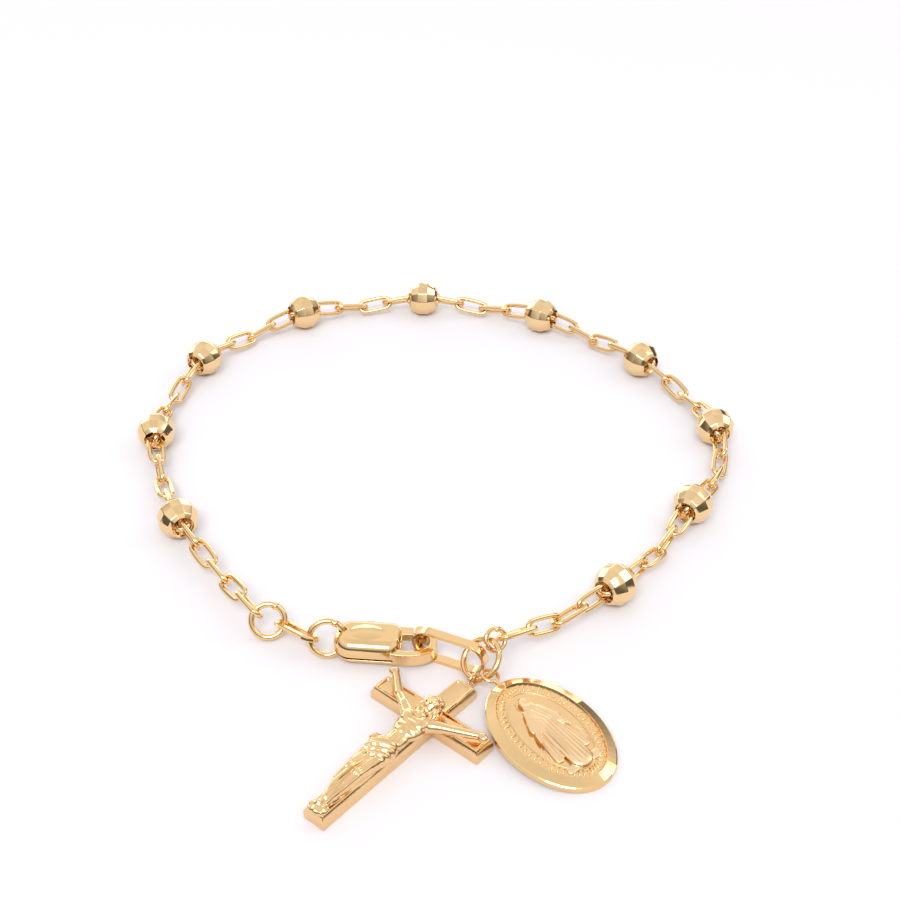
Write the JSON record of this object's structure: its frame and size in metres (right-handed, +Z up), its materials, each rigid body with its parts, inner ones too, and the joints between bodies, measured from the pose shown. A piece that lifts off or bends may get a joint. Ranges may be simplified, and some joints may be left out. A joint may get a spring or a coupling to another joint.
{
  "type": "rosary bracelet",
  "caption": "Closed bracelet of hollow cut beads on an oval-link chain, with a lobster clasp, an oval ring, and a medal and crucifix on one jump ring.",
  "frame": {"origin": "middle of the bounding box in plan, on the surface the bracelet lies on", "axes": "+Z up, +X to the right along the front with the clasp, +Y away from the clasp across the loop"},
  "size_m": [0.0632, 0.0812, 0.0042],
  "materials": {
    "polished_gold": "polished",
    "cut_gold": "polished",
    "cast_gold": "polished",
    "satin_gold": "satin"
  },
  "bodies": {
    "bracelet": {"band_ring": "polished_gold", "bead_01": "cut_gold", "bead_02": "cut_gold", "bead_03": "cut_gold", "bead_04": "cut_gold", "bead_05": "cut_gold", "bead_06": "cut_gold", "bead_07": "cut_gold", "bead_08": "cut_gold", "bead_09": "cut_gold", "bead_10": "cut_gold", "bridge_link": "polished_gold", "chain_links": "polished_gold", "chain_ring": "polished_gold", "clasp_body": "polished_gold", "clasp_ring": "polished_gold", "connector_ring": "polished_gold", "crucifix": "cast_gold", "end_ring": "polished_gold", "medal": "satin_gold"},
    "lever": {"clasp_lever": "polished_gold"}
  },
  "joints": [
    {"name": "clasp_lever_hinge", "type": "hinge", "parent": "bracelet", "child": "lever", "pos_m": [-0.00451, -0.01965, 0.00125], "axis": [0, 0, -1], "range_deg": [0, 25], "stiffness_Nm_per_rad": 0.0004}
  ]
}
